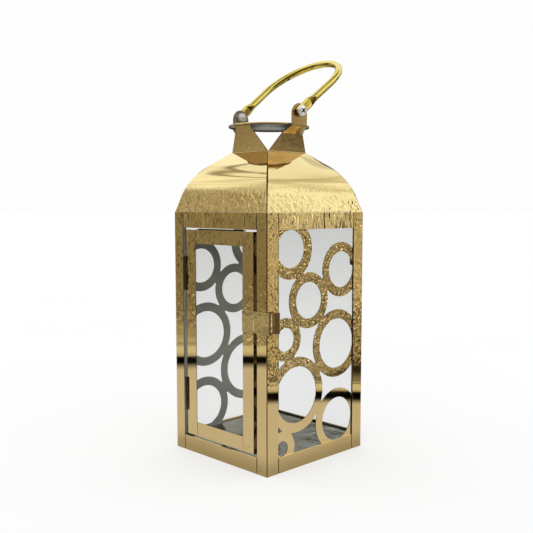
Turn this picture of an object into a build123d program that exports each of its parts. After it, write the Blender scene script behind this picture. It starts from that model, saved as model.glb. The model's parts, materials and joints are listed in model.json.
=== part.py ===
"""A folding-handle candle lantern made from thin folded sheet metal and glass.

Frame: origin at the centre of the base, +Z up, the door faces -Y, millimetres.
Bodies: the housing, the glazed door on its two butt hinges, and the bail handle.
"""

import os
from math import atan2, cos, hypot, radians, sin, sqrt, tan

from build123d import *

# ---------------------------------------------------------------- driving dimensions (mm)
WIDTH = 140.0           # outside width and depth, over the corner posts
EAVE_Z = 251.3          # top of the upright frame, where the roof starts
SHEET = 0.6             # thickness of every folded sheet
HALF = WIDTH / 2
INNER = HALF - SHEET    # inside face of the outer skin
HEM = INNER - SHEET     # inside face of a folded-over hem or a lap tab

POST_LEG = 13.9         # width of a corner post's leg on the front or the back
POST_SIDE_LEG = 15.0    # width of its other leg, on the right or left side
POST_BEND = 1.4         # outside radius of the post's corner
POST_EDGE = HALF - POST_LEG
POST_SIDE_EDGE = HALF - POST_SIDE_LEG
RAIL_GAP = 0.8          # seam between a rail and the post beside it
RAIL_END = POST_EDGE - RAIL_GAP
SIDE_RAIL_END = POST_SIDE_EDGE - RAIL_GAP
TAB_LAP = 1.0           # a lap tab starts this far inside the rail's end
BOTTOM_RAIL = 15.7      # height of the bottom rails
TOP_RAIL = 16.3         # height of the top rails
HEM_DEPTH = 3.5         # how far a folded-over edge goes down behind the skin
RAIL_FLANGE = 8.0       # ledge under each bottom rail
TAB_END = 66.0          # a lap tab ends here, behind the post
BOTTOM_TAB_Z = (1.2, 11.4)      # height range of the lap tabs of a bottom rail
TOP_TAB_Z = (240.5, 250.5)      # and of a top rail
FLOOR_Z = 13.6          # top of the floor tray
FLOOR_HALF = 65.4

RING_WIDTH = 9.6        # width of the band of each ring
RING_FILLET = 1.0       # radius in the notch where two rings meet
# Rings of the +X screen: (y, z, inside radius). Bands that touch are joined.
RINGS = [
    (-37.0, 216.5, 18.3),
    (36.5, 193.0, 18.5),
    (-11.5, 165.0, 18.2),
    (-44.0, 129.5, 11.5),
    (30.0, 117.0, 25.5),
    (-28.5, 73.0, 28.0),
    (31.5, 37.5, 22.5),
    (-48.5, 23.0, 7.5),
]
RING_JOINS = [(0, 2), (1, 2), (2, 3), (2, 4), (3, 5), (4, 5), (5, 6), (5, 7)]
BAND_EXTRA = {0: 1.6}   # the first ring has a wider band
SCREEN_HALF = 61.0      # half width of the screen's border
SCREEN_OPEN = 57.5      # half width inside that border
SCREEN_Z = (12.4, 239.2)
SCREEN_OPEN_Z = (14.4, 237.4)

GLASS = 2.0             # thickness of a glass pane
GLASS_HALF = 57.0
GLASS_Z = (17.0, 235.5)
SIDE_GLASS_X = HEM - SHEET - 0.2    # outer face of a side pane
BACK_GLASS_Y = HEM - 0.1            # outer face of the back pane
CLIP_Z = (50.0, 200.0)              # heights of the glass clips
CLIP_HEIGHT = 8.0
CLIP_SLACK = 0.2        # between a clip's finger and the pane
CLIP_FOOT = 3.4         # width of the welded foot
CLIP_FINGER = 2.2       # how far the finger reaches over the pane
PANE_SIDE_GAP = 0.6     # between a pane's edge and its clips

NECK_HALF = 27.0        # the roof closes in to a square of this half width
NECK_Z = 312.2
ROOF_KNEE = (58.9, 287.3)   # where the two straight runs of the roof's side view would meet
ROOF_ARC = 60.0         # radius that joins them
ROOF_EDGE = 69.55       # middle of the sheet at the eave
HIP_GAP = 0.35          # each panel stops this far short of the hip
PETAL_TAPER = 0.662     # a petal narrows by this much each side for each mm of height
PETAL_TOP_Z = 339.1
TAB_INNER = 29.0        # the tab on a plain petal reaches in to here
EAR_X = 43.7            # middle of the sheet of an ear
EAR_HALF = 10.9
JOGGLE = ((34.0, 330.0), (EAR_X, 337.5))
EAR_TOP = 359.5
PIVOT_Z = 352.0         # the handle turns about an X axis at this height
FLANGE_Z = (243.8, EAVE_Z + 0.9)    # the roof's tongues go down behind the top rails
FLANGE_END = 52.0       # its ends lie between the top rails' lap tabs

CAP_TOP = 340.0
CAP_RADIUS = 41.6       # middle of the sheet of the cap's turned-down lip
CAP_LIP_Z = 337.6
CAP_BEND = 1.2

DOOR_X = (-50.0, 52.0)
DOOR_Z = (18.6, 233.2)
DOOR_FACE = -70.4       # the door's face stands just proud of the posts
DOOR_BACK = DOOR_FACE + SHEET
DOOR_FLANGE = -65.0     # its folded sides reach back to here
STILE_INNER = (-34.8, 36.4)
DOOR_RAIL_Z = (33.1, 219.0)     # top of the lower rail, bottom of the upper rail
DOOR_GLASS_X = (-41.0, 42.0)
DOOR_GLASS_Z = (28.0, 224.0)
DOOR_TAB = 8.0          # how far a rail's lap tab reaches behind a stile

HINGE_AXIS = (-51.55, -71.6)
HINGE_BASES = (43.9, 171.0)     # lower end of each hinge
KNUCKLE = 8.6           # height of one knuckle, of which there are four
KNUCKLE_RADIUS = 1.9
PIN_RADIUS = 1.0
HINGE_SLACK = 0.05      # between the pin and the knuckles
KNUCKLE_GAP = 0.15
PIN_PROUD = 0.6         # the pin stands out of the knuckles at each end
FRAME_WEB_OFF = 1.45    # the frame leaf's web meets its knuckles this far left of the axis
WEB_BACK = -68.9        # the webs reach back to here, behind the skin
DOOR_PLATE_Y = -69.5    # front of the plate on the door's folded side

LATCH_SHEET = 0.7
LATCH_Z = (137.5, 158.0)
LATCH_STEP = 0.8        # the strip steps out by this much to clear the corner post
LATCH_BENDS = [0.8, 0.8, 1.0, 0.8, 0.9, 0.6]    # the radius of each of its bends
# The middle of the strip past the post's corner, back to a V beside the post and out to a lip: (x, y).
LATCH_LIP = [(75.6, -68.6), (71.5, -62.6), (74.9, -58.6), (74.2, -57.4)]

HANDLE_LEAN = 53.0      # the handle leans back from upright by this angle
TUBE_RADIUS = 3.7
TUBE_WALL = 0.8
ARCH_RADIUS = 47.4
ARCH_CENTRE = 54.0      # the arch's centre lies this far from the pivot
TAB_THICKNESS = 2.4     # the tube's ends are pressed flat to this
TAB_WIDTH = 10.6
TAB_X = 45.5            # middle of a flattened end
TAB_LENGTH = (-6.0, 14.0)
TAB_CORNER = 4.6
SPLAY_START = 10.0      # the legs' centre lines lean outward from this far above the pivot
TUBE_START = 24.0       # the round tube starts this far from the pivot

SCREW_RADIUS = 2.45     # M5
SCREW_HOLE = 2.5
SCREW_HEAD = (5.7, 3.0)     # radius and height
HEAD_DOME = 2.0         # radius of the head's rounded edge
RECESS = (6.4, 1.3, 2.2)    # length and width of each arm of the cross, and its full depth
HEAD_SLACK = 0.1        # between a head and the handle's end
SCREW_LENGTH = 10.0
NUT_FLATS = 8.0
NUT_HEIGHT = 4.0


# ---------------------------------------------------------------- helpers
def block(x, y, z):
    """A box between two values on each axis."""
    size = [abs(b - a) for a, b in (x, y, z)]
    middle = [(a + b) / 2 for a, b in (x, y, z)]
    return Pos(*middle) * Box(*size)


def quarter_turns(shape, turns):
    """The shape turned about the lantern's upright axis."""
    return Rot(0, 0, 90 * turns) * shape


def folded(points, radii, thickness=SHEET):
    """The section of a sheet whose middle follows these points, with bends of these radii."""
    return trace(FilletPolyline(*points, radius=radii), thickness)


def save(name, *solids):
    """Writes one node, made of one or more separate solids."""
    shape = solids[0] if len(solids) == 1 else Compound(children=list(solids))
    export_step(shape, f"parts/{name}.step")


# ---------------------------------------------------------------- upright frame
def post_section():
    bend = POST_BEND - SHEET / 2
    middle = HALF - SHEET / 2
    return folded([(POST_EDGE, middle), (middle, middle), (middle, POST_SIDE_EDGE)], bend)


def corner_posts():
    right = extrude(post_section(), EAVE_Z)
    left = mirror(right, Plane.YZ)
    for name, post, turns in (("back_right", right, 0), ("back_left", left, 0),
                              ("front_left", right, 2), ("front_right", left, 2)):
        save(f"corner_post_{name}", quarter_turns(post, turns))


def lap_tabs(end, z):
    """Tabs at both ends of a rail on the +X side, which lie behind the posts."""
    tab = block((HEM, INNER), (end - TAB_LAP, TAB_END), z)
    return tab + mirror(tab, Plane.XZ)


def bottom_rail(end):
    """A bottom rail on the +X side that reaches to this far from its middle."""
    skin = block((INNER, HALF), (-end, end), (0, BOTTOM_RAIL))
    hem = block((HEM, INNER), (-end, end), (BOTTOM_RAIL - HEM_DEPTH, BOTTOM_RAIL))
    flange = block((INNER - RAIL_FLANGE, INNER), (-end, end), (0, SHEET))
    return skin + hem + flange + lap_tabs(end, BOTTOM_TAB_Z)


def top_rail(end):
    low = EAVE_Z - TOP_RAIL
    skin = block((INNER, HALF), (-end, end), (low, EAVE_Z))
    hem = block((HEM, INNER), (-end, end), (low, low + HEM_DEPTH))
    return skin + hem + lap_tabs(end, TOP_TAB_Z)


def rails():
    for turns, side in enumerate(("right", "back", "left", "front")):
        end = SIDE_RAIL_END if side in ("right", "left") else RAIL_END
        save(f"bottom_rail_{side}", quarter_turns(bottom_rail(end), turns))
        save(f"top_rail_{side}", quarter_turns(top_rail(end), turns))


def base_tray():
    """The raised floor, with a skirt on each side that stands on the rails' flanges."""
    pan = block((-FLOOR_HALF, FLOOR_HALF), (-FLOOR_HALF, FLOOR_HALF), (SHEET, FLOOR_Z))
    inside = FLOOR_HALF - SHEET
    hollow = block((-inside, inside), (-inside, inside), (0, FLOOR_Z - SHEET))
    save("base_tray", pan - hollow)


# ---------------------------------------------------------------- ring screens and glass
def band_radius(i):
    return RINGS[i][2] + RING_WIDTH + BAND_EXTRA.get(i, 0.0)


def ring_web(i, j):
    """The small four-sided web with hollow sides where two bands touch."""
    (ya, za, _), (yb, zb, _) = RINGS[i], RINGS[j]
    ra, rb = band_radius(i) + RING_FILLET, band_radius(j) + RING_FILLET
    gap = hypot(yb - ya, zb - za)
    along = (gap * gap + ra * ra - rb * rb) / (2 * gap)
    aside = sqrt(max(ra * ra - along * along, 0.0))
    uy, uz = (yb - ya) / gap, (zb - za) / gap
    foot = (ya + uy * along, za + uz * along)
    sides = [(foot[0] - s * uz * aside, foot[1] + s * uy * aside) for s in (1, -1)]
    web = make_face(Polyline((ya, za), sides[0], (yb, zb), sides[1], close=True))
    for y, z in sides:
        web -= Pos(y, z) * Circle(RING_FILLET)
    return web


def ring_sketch():
    bands = Sketch()
    for i, (y, z, _) in enumerate(RINGS):
        bands += Pos(y, z) * Circle(band_radius(i))
    for i, j in RING_JOINS:
        bands += ring_web(i, j)
    for y, z, radius in RINGS:
        bands -= Pos(y, z) * Circle(radius)
    low, high = SCREEN_Z
    outline = Pos(0, (low + high) / 2) * Rectangle(2 * SCREEN_HALF, high - low)
    low, high = SCREEN_OPEN_Z
    opening = Pos(0, (low + high) / 2) * Rectangle(2 * SCREEN_OPEN, high - low)
    return (bands & outline) + (outline - opening)


def ring_screens():
    screen = extrude(Plane.YZ.offset(HEM - SHEET) * ring_sketch(), SHEET)
    save("ring_screen_right", screen)
    save("ring_screen_left", quarter_turns(screen, 2))


def glass_clip(seat, finger, edge, z):
    """A Z-shaped clip on the +X side: welded at the seat plane, its finger over a pane's edge."""
    z_range = (z - CLIP_HEIGHT / 2, z + CLIP_HEIGHT / 2)
    foot = block((seat - SHEET, seat), (edge, edge + CLIP_FOOT), z_range)
    riser = block((finger - SHEET, seat), (edge, edge + SHEET), z_range)
    grip = block((finger - SHEET, finger), (edge - CLIP_FINGER, edge + SHEET), z_range)
    return foot + riser + grip


def pane_clips(seat, finger, edges):
    """Four clips that hold a pane on the +X side, by its two upright edges."""
    clips = []
    for z in CLIP_Z:
        clips.append(glass_clip(seat, finger, edges[1], z))
        clips.append(mirror(glass_clip(seat, finger, -edges[0], z), Plane.XZ))
    return clips


def panes():
    edge = GLASS_HALF + PANE_SIDE_GAP
    side = block((SIDE_GLASS_X - GLASS, SIDE_GLASS_X), (-GLASS_HALF, GLASS_HALF), GLASS_Z)
    side_clips = pane_clips(HEM - SHEET, SIDE_GLASS_X - GLASS - CLIP_SLACK, (-edge, edge))
    for name, turns in (("right", 0), ("left", 2)):
        save(f"side_glass_{name}", quarter_turns(side, turns))
        save(f"glass_clips_{name}", *[quarter_turns(c, turns) for c in side_clips])
    back = block((BACK_GLASS_Y - GLASS, BACK_GLASS_Y), (-GLASS_HALF, GLASS_HALF), GLASS_Z)
    back_clips = pane_clips(INNER, BACK_GLASS_Y - GLASS - CLIP_SLACK, (-edge, edge))
    save("back_glass", quarter_turns(back, 1))
    save("glass_clips_back", *[quarter_turns(c, 1) for c in back_clips])


# ---------------------------------------------------------------- roof
def petal_outline(top):
    """The front view of a petal: half width at the neck, tapering to the strap width."""
    base = NECK_HALF - HIP_GAP
    narrow_z = NECK_Z + (base - EAR_HALF) / PETAL_TAPER
    outline = make_face(Polyline((-base, NECK_Z), (base, NECK_Z), (EAR_HALF, narrow_z),
                                 (-EAR_HALF, narrow_z), close=True))
    strap = Pos(0, (narrow_z + top) / 2) * Rectangle(2 * EAR_HALF, top - narrow_z)
    return outline + strap


def mitre_wedge():
    """What lies between the two hip planes of the +X side, below the neck."""
    far = HALF + 10
    wedge = make_face(Polyline((HIP_GAP, 0), (far, far - HIP_GAP), (far, HIP_GAP - far), close=True))
    return Pos(0, 0, EAVE_Z) * extrude(wedge, NECK_Z - EAVE_Z)


def roof_panel(top_points, top_radii, outline):
    """A curved panel on the +X side, folded up at the neck into its petal."""
    points = [(ROOF_EDGE, EAVE_Z - 1.0), ROOF_KNEE, (NECK_HALF, NECK_Z), *top_points]
    section = folded(points, [ROOF_ARC, 1.2, *top_radii])
    sheet = extrude(Plane.XZ * section, HALF, both=True)
    mask = mitre_wedge() + extrude(Plane.YZ * outline, HALF)
    flange = block((HEM, INNER), (-FLANGE_END, FLANGE_END), FLANGE_Z)
    return (sheet & mask) + flange


def plain_panel():
    """Ends in a tab that is folded in under the cap."""
    return roof_panel([(36.9, PETAL_TOP_Z), (TAB_INNER, PETAL_TOP_Z)], [1.0],
                      petal_outline(EAR_TOP))


def eared_panel():
    """Steps out round the cap's lip and ends in a round-topped ear with the pivot hole."""
    outline = petal_outline(EAR_TOP - EAR_HALF) + Pos(0, EAR_TOP - EAR_HALF) * Circle(EAR_HALF)
    panel = roof_panel([*JOGGLE, (EAR_X, EAR_TOP)], [1.5, 1.5], outline)
    hole = extrude(Plane.YZ * (Pos(0, PIVOT_Z) * Circle(SCREW_HOLE)), HALF)
    return panel - hole


def roof():
    for name, turns in (("back", 1), ("front", 3)):
        save(f"roof_panel_{name}", quarter_turns(plain_panel(), turns))
    for name, turns in (("right", 0), ("left", 2)):
        save(f"roof_panel_{name}", quarter_turns(eared_panel(), turns))


def vent_cap():
    """A round plate with a rounded, turned-down lip."""
    middle = CAP_TOP - SHEET / 2
    section = folded([(0, middle), (CAP_RADIUS, middle), (CAP_RADIUS, CAP_LIP_Z)], CAP_BEND)
    save("vent_cap", revolve(Plane.XZ * section, Axis.Z))


# ---------------------------------------------------------------- door
def door_stiles():
    for name, outer, inner in zip(("hinge", "latch"), DOOR_X, STILE_INNER):
        inward = SHEET if inner > outer else -SHEET
        face = block((outer, inner), (DOOR_FACE, DOOR_BACK), DOOR_Z)
        side = block((outer, outer + inward), (DOOR_FACE, DOOR_FLANGE), DOOR_Z)
        save(f"door_stile_{name}", face + side)


def door_rail(z_outer, z_inner, wedge):
    """A cross rail with a folded outer edge, and a lap tab behind each stile."""
    left, right = STILE_INNER[0] + 0.3, STILE_INNER[1] - 0.1
    outline = Polyline((left, z_outer), (right, z_outer), (right, z_inner), (left + wedge, z_inner),
                       close=True)
    face = extrude(Plane.XZ.offset(-DOOR_BACK) * make_face(outline), SHEET)
    inward = SHEET if z_inner > z_outer else -SHEET
    edge = block((left, right), (DOOR_FACE, DOOR_FLANGE), (z_outer, z_outer + inward))
    tab_z = (z_outer + 2 * inward, z_outer + 13 * inward)
    tab_y = (DOOR_BACK, DOOR_BACK + SHEET)
    hinge_tab = block((left - DOOR_TAB, left + 2), tab_y, tab_z)
    latch_tab = block((right - 2, right + DOOR_TAB), tab_y, tab_z)
    return face + edge + hinge_tab + latch_tab


def door_rails():
    save("door_rail_bottom", door_rail(DOOR_Z[0], DOOR_RAIL_Z[0], 0.5))
    save("door_rail_top", door_rail(DOOR_Z[1], DOOR_RAIL_Z[1], 1.0))


def door_pane():
    outer = DOOR_BACK + 0.2
    save("door_glass", block(DOOR_GLASS_X, (outer, outer + GLASS), DOOR_GLASS_Z))
    finger = -(outer + GLASS + CLIP_SLACK)
    # Turned to the front, the -Y and +Y edges of the +X side become the -X and +X edges.
    edges = (DOOR_GLASS_X[0] - PANE_SIDE_GAP, DOOR_GLASS_X[1] + PANE_SIDE_GAP)
    clips = pane_clips(-DOOR_BACK, finger, edges)
    save("door_glass_clips", *[quarter_turns(c, 3) for c in clips])


def latch_clip():
    """A spring strip on the latch stile that wraps round the corner post, with a finger lip."""
    on_door = DOOR_FACE - LATCH_SHEET / 2
    proud = on_door - LATCH_STEP
    points = [(STILE_INNER[1], on_door), (DOOR_X[1] + 0.2, on_door), (DOOR_X[1] + 2.2, proud),
              (LATCH_LIP[0][0], proud), *LATCH_LIP]
    section = folded(points, LATCH_BENDS, LATCH_SHEET)
    save("latch_clip", Pos(0, 0, LATCH_Z[0]) * extrude(section, LATCH_Z[1] - LATCH_Z[0]))


# ---------------------------------------------------------------- hinges
def knuckle(base, k):
    """The barrel of knuckle k, counted from the bottom, and its height range."""
    low = base + k * KNUCKLE + KNUCKLE_GAP / 2
    high = low + KNUCKLE - KNUCKLE_GAP
    ring = Circle(KNUCKLE_RADIUS) - Circle(PIN_RADIUS + HINGE_SLACK)
    return Pos(*HINGE_AXIS, low) * extrude(ring, high - low), (low, high)


def upright_rod(radius, low, high):
    """A rod on the hinge axis."""
    return Pos(*HINGE_AXIS, low) * extrude(Circle(radius), high - low)


def hinge_leaf(base, first, web_x, plate):
    """Every second knuckle from the first, joined by a web to the leaf's plate."""
    leaf = plate
    for k in range(first, 4, 2):
        barrel, z = knuckle(base, k)
        leaf += barrel + block(web_x, (HINGE_AXIS[1], WEB_BACK), z)
    return leaf - upright_rod(PIN_RADIUS + HINGE_SLACK, base, base + 4 * KNUCKLE)


def hinges():
    web = HINGE_AXIS[0] - FRAME_WEB_OFF
    post_side = (web, web + SHEET)
    door_side = (DOOR_X[0] - SHEET, DOOR_X[0])
    for name, base in zip(("lower", "upper"), HINGE_BASES):
        top = base + 4 * KNUCKLE
        frame_plate = block((-TAB_END, post_side[1]), (-INNER, -HEM), (base, top))
        save(f"hinge_{name}_frame_leaf", hinge_leaf(base, 0, post_side, frame_plate))
        door_plate = block(door_side, (DOOR_PLATE_Y, DOOR_FLANGE), (base, top))
        save(f"hinge_{name}_door_leaf", hinge_leaf(base, 1, door_side, door_plate))
        save(f"hinge_{name}_pin", upright_rod(PIN_RADIUS, base - PIN_PROUD, top + PIN_PROUD))


# ---------------------------------------------------------------- handle and its fasteners
def leg_lean():
    """How far the legs lean outward to run on into the arch, and their length up to it."""
    rise = ARCH_CENTRE - SPLAY_START
    to_centre = hypot(TAB_X, rise)
    run = sqrt(to_centre ** 2 - ARCH_RADIUS ** 2)
    return atan2(ARCH_RADIUS, run) - atan2(TAB_X, rise), run


def handle_path(lean, run):
    """The tube's centre line, from one flattened end over the arch to the other."""
    foot = (TAB_X + (TUBE_START - SPLAY_START) * tan(lean), 0, TUBE_START)
    touch = (TAB_X + run * sin(lean), 0, SPLAY_START + run * cos(lean))
    top = (0, 0, ARCH_CENTRE + ARCH_RADIUS)
    arch = ThreePointArc(touch, top, (-touch[0], 0, touch[2]))
    return Wire([Line(foot, touch), arch, Line(arch @ 1, (-foot[0], 0, foot[2]))])


def handle_tube():
    """A bent tube with flattened ends, drawn upright about the pivot and then leant back."""
    path = handle_path(*leg_lean())
    start = Plane(origin=path @ 0, x_dir=(0, 1, 0), z_dir=path % 0)
    tube = sweep(start * (Circle(TUBE_RADIUS) - Circle(TUBE_RADIUS - TUBE_WALL)), path=path)
    low, high = TAB_LENGTH
    flat = Plane(origin=(TAB_X, 0, high), x_dir=(0, 1, 0), z_dir=(0, 0, 1))
    neck = loft([start * Circle(TUBE_RADIUS), flat * Ellipse(TAB_WIDTH / 2, TAB_THICKNESS / 2)])
    paddle = Pos(0, (low + high) / 2) * Rectangle(TAB_WIDTH, high - low)
    paddle = fillet(paddle.vertices().group_by(Axis.Y)[0], TAB_CORNER) - Circle(SCREW_HOLE)
    tab = extrude(Plane.YZ.offset(TAB_X - TAB_THICKNESS / 2) * paddle, TAB_THICKNESS)
    end = tab + neck
    handle = tube + end + mirror(end, Plane.YZ)
    save("handle_tube", Pos(0, 0, PIVOT_Z) * Rot(-HANDLE_LEAN, 0, 0) * handle)


def handle_screws():
    """Two cross-recess screws with low domed heads, and their nuts inside the ears."""
    seat = TAB_X + TAB_THICKNESS / 2 + HEAD_SLACK
    radius, height = SCREW_HEAD
    head = extrude(Circle(radius), height)
    head = fillet(head.edges().filter_by(GeomType.CIRCLE).sort_by(Axis.Z)[-1], HEAD_DOME)
    length, width, depth = RECESS
    head -= Pos(0, 0, height) * (Box(length, width, depth) + Box(width, length, depth))
    shank = extrude(Circle(SCREW_RADIUS), -SCREW_LENGTH)
    screw = Pos(seat, 0, PIVOT_Z) * Rot(0, 90, 0) * Rot(0, 0, 45) * (head + shank)
    save("handle_screws", screw, quarter_turns(screw, 2))
    hexagon = RegularPolygon(NUT_FLATS / 2, 6, major_radius=False) - Circle(SCREW_HOLE)
    nut_plane = Plane.YZ.offset(EAR_X - SHEET / 2 - NUT_HEIGHT)
    nut = extrude(nut_plane * (Pos(0, PIVOT_Z) * hexagon), NUT_HEIGHT)
    save("handle_nuts", nut, quarter_turns(nut, 2))


def main():
    os.makedirs("parts", exist_ok=True)
    corner_posts()
    rails()
    base_tray()
    ring_screens()
    panes()
    roof()
    vent_cap()
    door_stiles()
    door_rails()
    door_pane()
    latch_clip()
    hinges()
    handle_tube()
    handle_screws()


main()
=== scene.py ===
"""Looks for a gold-plated candle lantern: folded polished sheet, ring screens, glass and a bail handle.

Everything is in metres in the CAD's own frame: +Z up, the door faces -Y, the origin is under the base.
"""

import json
from math import acos, atan2, ceil, cos, degrees, exp, hypot, pi, radians, sin, sqrt, tan

import bmesh
import bpy
from mathutils import Matrix, Quaternion, Vector
from mathutils import noise as value_noise

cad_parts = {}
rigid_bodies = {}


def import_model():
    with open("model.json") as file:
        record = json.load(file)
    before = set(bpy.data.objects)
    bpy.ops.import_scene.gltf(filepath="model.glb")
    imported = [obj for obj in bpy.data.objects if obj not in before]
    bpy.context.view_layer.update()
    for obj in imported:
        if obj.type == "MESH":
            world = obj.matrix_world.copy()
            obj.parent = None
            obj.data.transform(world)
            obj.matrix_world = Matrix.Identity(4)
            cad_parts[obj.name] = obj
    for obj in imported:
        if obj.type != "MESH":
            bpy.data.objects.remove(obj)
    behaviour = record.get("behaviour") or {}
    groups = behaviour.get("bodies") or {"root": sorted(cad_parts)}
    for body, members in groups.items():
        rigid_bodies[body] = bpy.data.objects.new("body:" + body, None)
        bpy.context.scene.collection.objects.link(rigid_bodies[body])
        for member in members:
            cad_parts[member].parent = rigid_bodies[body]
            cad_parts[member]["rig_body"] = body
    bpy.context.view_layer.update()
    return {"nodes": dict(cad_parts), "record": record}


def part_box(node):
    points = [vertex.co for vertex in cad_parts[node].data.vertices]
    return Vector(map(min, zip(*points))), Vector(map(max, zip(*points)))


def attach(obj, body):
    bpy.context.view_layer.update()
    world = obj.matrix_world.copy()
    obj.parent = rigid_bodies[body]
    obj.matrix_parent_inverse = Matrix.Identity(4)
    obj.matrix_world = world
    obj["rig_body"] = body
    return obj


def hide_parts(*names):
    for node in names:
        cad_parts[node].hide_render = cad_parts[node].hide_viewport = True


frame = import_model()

MM = 0.001
SHEET = 0.6 * MM

POST_LOW, POST_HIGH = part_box("corner_post_back_right")
HALF = POST_HIGH.x    # half the width of the upright frame
EAVE_Z = POST_HIGH.z
DOOR_LOW, DOOR_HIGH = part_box("door_stile_hinge")
CAP_LOW, CAP_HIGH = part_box("vent_cap")
SCREW_LOW, SCREW_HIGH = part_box("handle_screws")
PIVOT_Z = (SCREW_LOW.z + SCREW_HIGH.z) / 2
HANDLE_LEAN = radians(53)    # how far back from upright the handle rests


# ================ node helpers
def add_node(tree, kind, inputs=None, **settings):
    """A shader node with its settings and inputs. An input is a value or another node's output."""
    made = tree.nodes.new("ShaderNode" + kind)
    for key, value in settings.items():
        setattr(made, key, value)
    for key, value in (inputs or {}).items():
        if isinstance(value, bpy.types.NodeSocket):
            tree.links.new(value, made.inputs[key])
        else:
            made.inputs[key].default_value = value
    return made


def ramp(tree, factor, *stops):
    """A colour ramp through (place, colour) stops."""
    made = add_node(tree, "ValToRGB", {"Fac": factor})
    points = made.color_ramp.elements
    while len(points) < len(stops):
        points.new(0.5)
    for point, (place, colour) in zip(points, stops):
        point.position = place
        point.color = (*colour, 1)
    return made.outputs["Color"]


def maths(tree, operation, *values):
    """A number from one Math node."""
    return add_node(tree, "Math", dict(enumerate(values)), operation=operation).outputs[0]


def blend_colours(tree, factor, a, b, mode="MIX"):
    """Colour a at factor 0 and b at factor 1. Each may be a socket or three numbers."""
    a, b = ((*colour, 1) if isinstance(colour, tuple) else colour for colour in (a, b))
    made = add_node(tree, "Mix", {0: factor, 6: a, 7: b}, data_type="RGBA", blend_type=mode)
    return made.outputs[2]


def multiply_colours(tree, a, b):
    return blend_colours(tree, 1.0, a, b, "MULTIPLY")


def part_of(tree, vector, axis):
    """The X, Y or Z of a vector."""
    return add_node(tree, "SeparateXYZ", {"Vector": vector}).outputs[axis]


def length_along(tree, vector, direction):
    """How far a vector reaches along a direction."""
    return add_node(tree, "VectorMath", {0: vector, 1: direction}, operation="DOT_PRODUCT").outputs["Value"]


def step(tree, value, low, high):
    """0 below low, 1 above high, smooth between."""
    made = add_node(tree, "MapRange", {"Value": value, "From Min": low, "From Max": high},
                    interpolation_type="SMOOTHSTEP")
    return made.outputs["Result"]


def spread(tree, factor, low, high):
    """low to high as the factor goes from 0.3 to 0.7, where most of a noise lies."""
    made = add_node(tree, "MapRange", {"Value": factor, "From Min": 0.3, "From Max": 0.7,
                                       "To Min": low, "To Max": high})
    return made.outputs["Result"]


def noise_texture(tree, place, scale, detail=2.0, roughness=0.5, distortion=0.0):
    made = add_node(tree, "TexNoise", {"Vector": place, "Scale": scale, "Detail": detail,
                                       "Roughness": roughness, "Distortion": distortion})
    return made.outputs["Fac"]


def new_material(name, metallic=0.0):
    """A node material, its tree and its Principled shader."""
    made = bpy.data.materials.new(name)
    made.use_nodes = True
    shader = made.node_tree.nodes["Principled BSDF"]
    shader.inputs["Metallic"].default_value = metallic
    return made, made.node_tree, shader


def object_place(tree):
    return add_node(tree, "TexCoord").outputs["Object"]


def link(output, shader, name):
    shader.id_data.links.new(output, shader.inputs[name])


# ================ materials
# The hammered grain: its scale, and the heights in metres where it comes and goes.
CELL_SCALE, RIPPLE_SCALE, RIPPLE_SHARE = 330.0, 210.0, 1.5
GRAIN_LOW = 0.082    # where it starts on the ring screens' sides
GRAIN_RAISED = 0.040    # and how much higher it starts on the door's side and the back
GRAIN_FADE = 0.022
ROOF_START = (0.2510, 0.2516)
ROOF_WEAKER = -0.6    # what the roof takes off the grain's strength
NECK_FADE = (0.280, 0.264)
PETAL_START, PETAL_END = (0.310, 0.314), (0.345, 0.330)
PETAL_SHARE = 0.40
DULL_AND_SHADE_START = (0.3105, 0.3125)    # above here the metal is duller, and its colour darker with painted shade
TOP_ROUGHNESS = 0.14
WARP_SCALE, WARP_DEPTH = 9.0, 0.0018


def hammered_height(tree, place, normal, stretch, dimples):
    """The fine hammered grain of the upper part, as a height, and how strong it is from 0 to 1.

    It starts a hand's breadth above the base on the ring screens' sides, and higher on the door's
    side and the back. It is weaker on the roof and the petals, and none on the neck and the ears.
    """
    laid = add_node(tree, "Mapping", {"Vector": place, "Scale": stretch}).outputs["Vector"]
    cells = add_node(tree, "TexVoronoi", {"Vector": laid, "Scale": CELL_SCALE, "Smoothness": 0.8},
                     feature="SMOOTH_F1").outputs["Distance"]
    ripples = noise_texture(tree, laid, RIPPLE_SCALE, detail=0.0, distortion=0.7)
    height = maths(tree, "MULTIPLY_ADD", ripples, RIPPLE_SHARE, maths(tree, "MULTIPLY", cells, dimples))
    z = part_of(tree, place, "Z")
    facing_y = maths(tree, "ABSOLUTE", part_of(tree, normal, "Y"))
    start = maths(tree, "MULTIPLY_ADD", facing_y, GRAIN_RAISED, GRAIN_LOW)
    above = step(tree, maths(tree, "SUBTRACT", z, start), 0.0, GRAIN_FADE)
    roof_share = maths(tree, "MULTIPLY_ADD", step(tree, z, *ROOF_START), ROOF_WEAKER, 1.0)
    below_neck = step(tree, z, *NECK_FADE)
    on_petal = maths(tree, "MULTIPLY", step(tree, z, *PETAL_START), step(tree, z, *PETAL_END))
    kept = maths(tree, "MAXIMUM", below_neck, maths(tree, "MULTIPLY", on_petal, PETAL_SHARE))
    strength = maths(tree, "MULTIPLY", maths(tree, "MULTIPLY", above, roof_share), kept)
    return height, strength


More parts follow.
